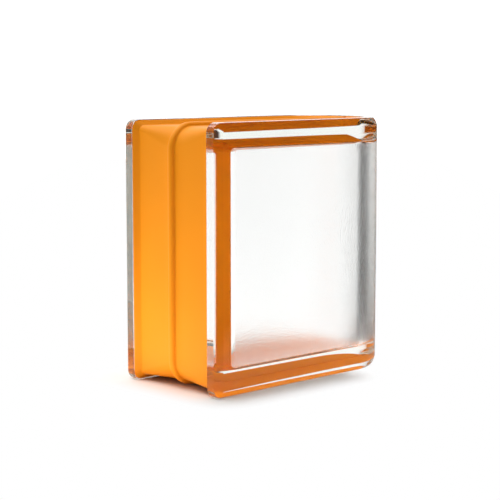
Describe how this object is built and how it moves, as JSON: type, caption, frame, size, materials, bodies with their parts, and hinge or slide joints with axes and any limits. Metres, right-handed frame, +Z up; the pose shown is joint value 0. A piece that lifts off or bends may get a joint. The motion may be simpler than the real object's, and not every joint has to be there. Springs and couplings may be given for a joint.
{
  "type": "glass end block",
  "caption": "Hollow glass end block: clear faces with satin insides, one rounded finished end, and a recessed mortar channel with a fused seam and an orange coating on the other sides.",
  "frame": {"origin": "centre of the underside, on the plane of the lower edges of the two lips that the block stands on", "axes": "+X along the width, from the channel side to the rounded end; +Y through the depth, from the front face to the rear face; +Z up"},
  "size_m": [0.19, 0.1, 0.19],
  "materials": {
    "pressed_glass": "clear and fire-polished outside, satin inside",
    "orange_coating": "opaque satin paint"
  },
  "bodies": {
    "root": {"glass_body": "pressed_glass", "edge_coating": "orange_coating"}
  },
  "joints": []
}
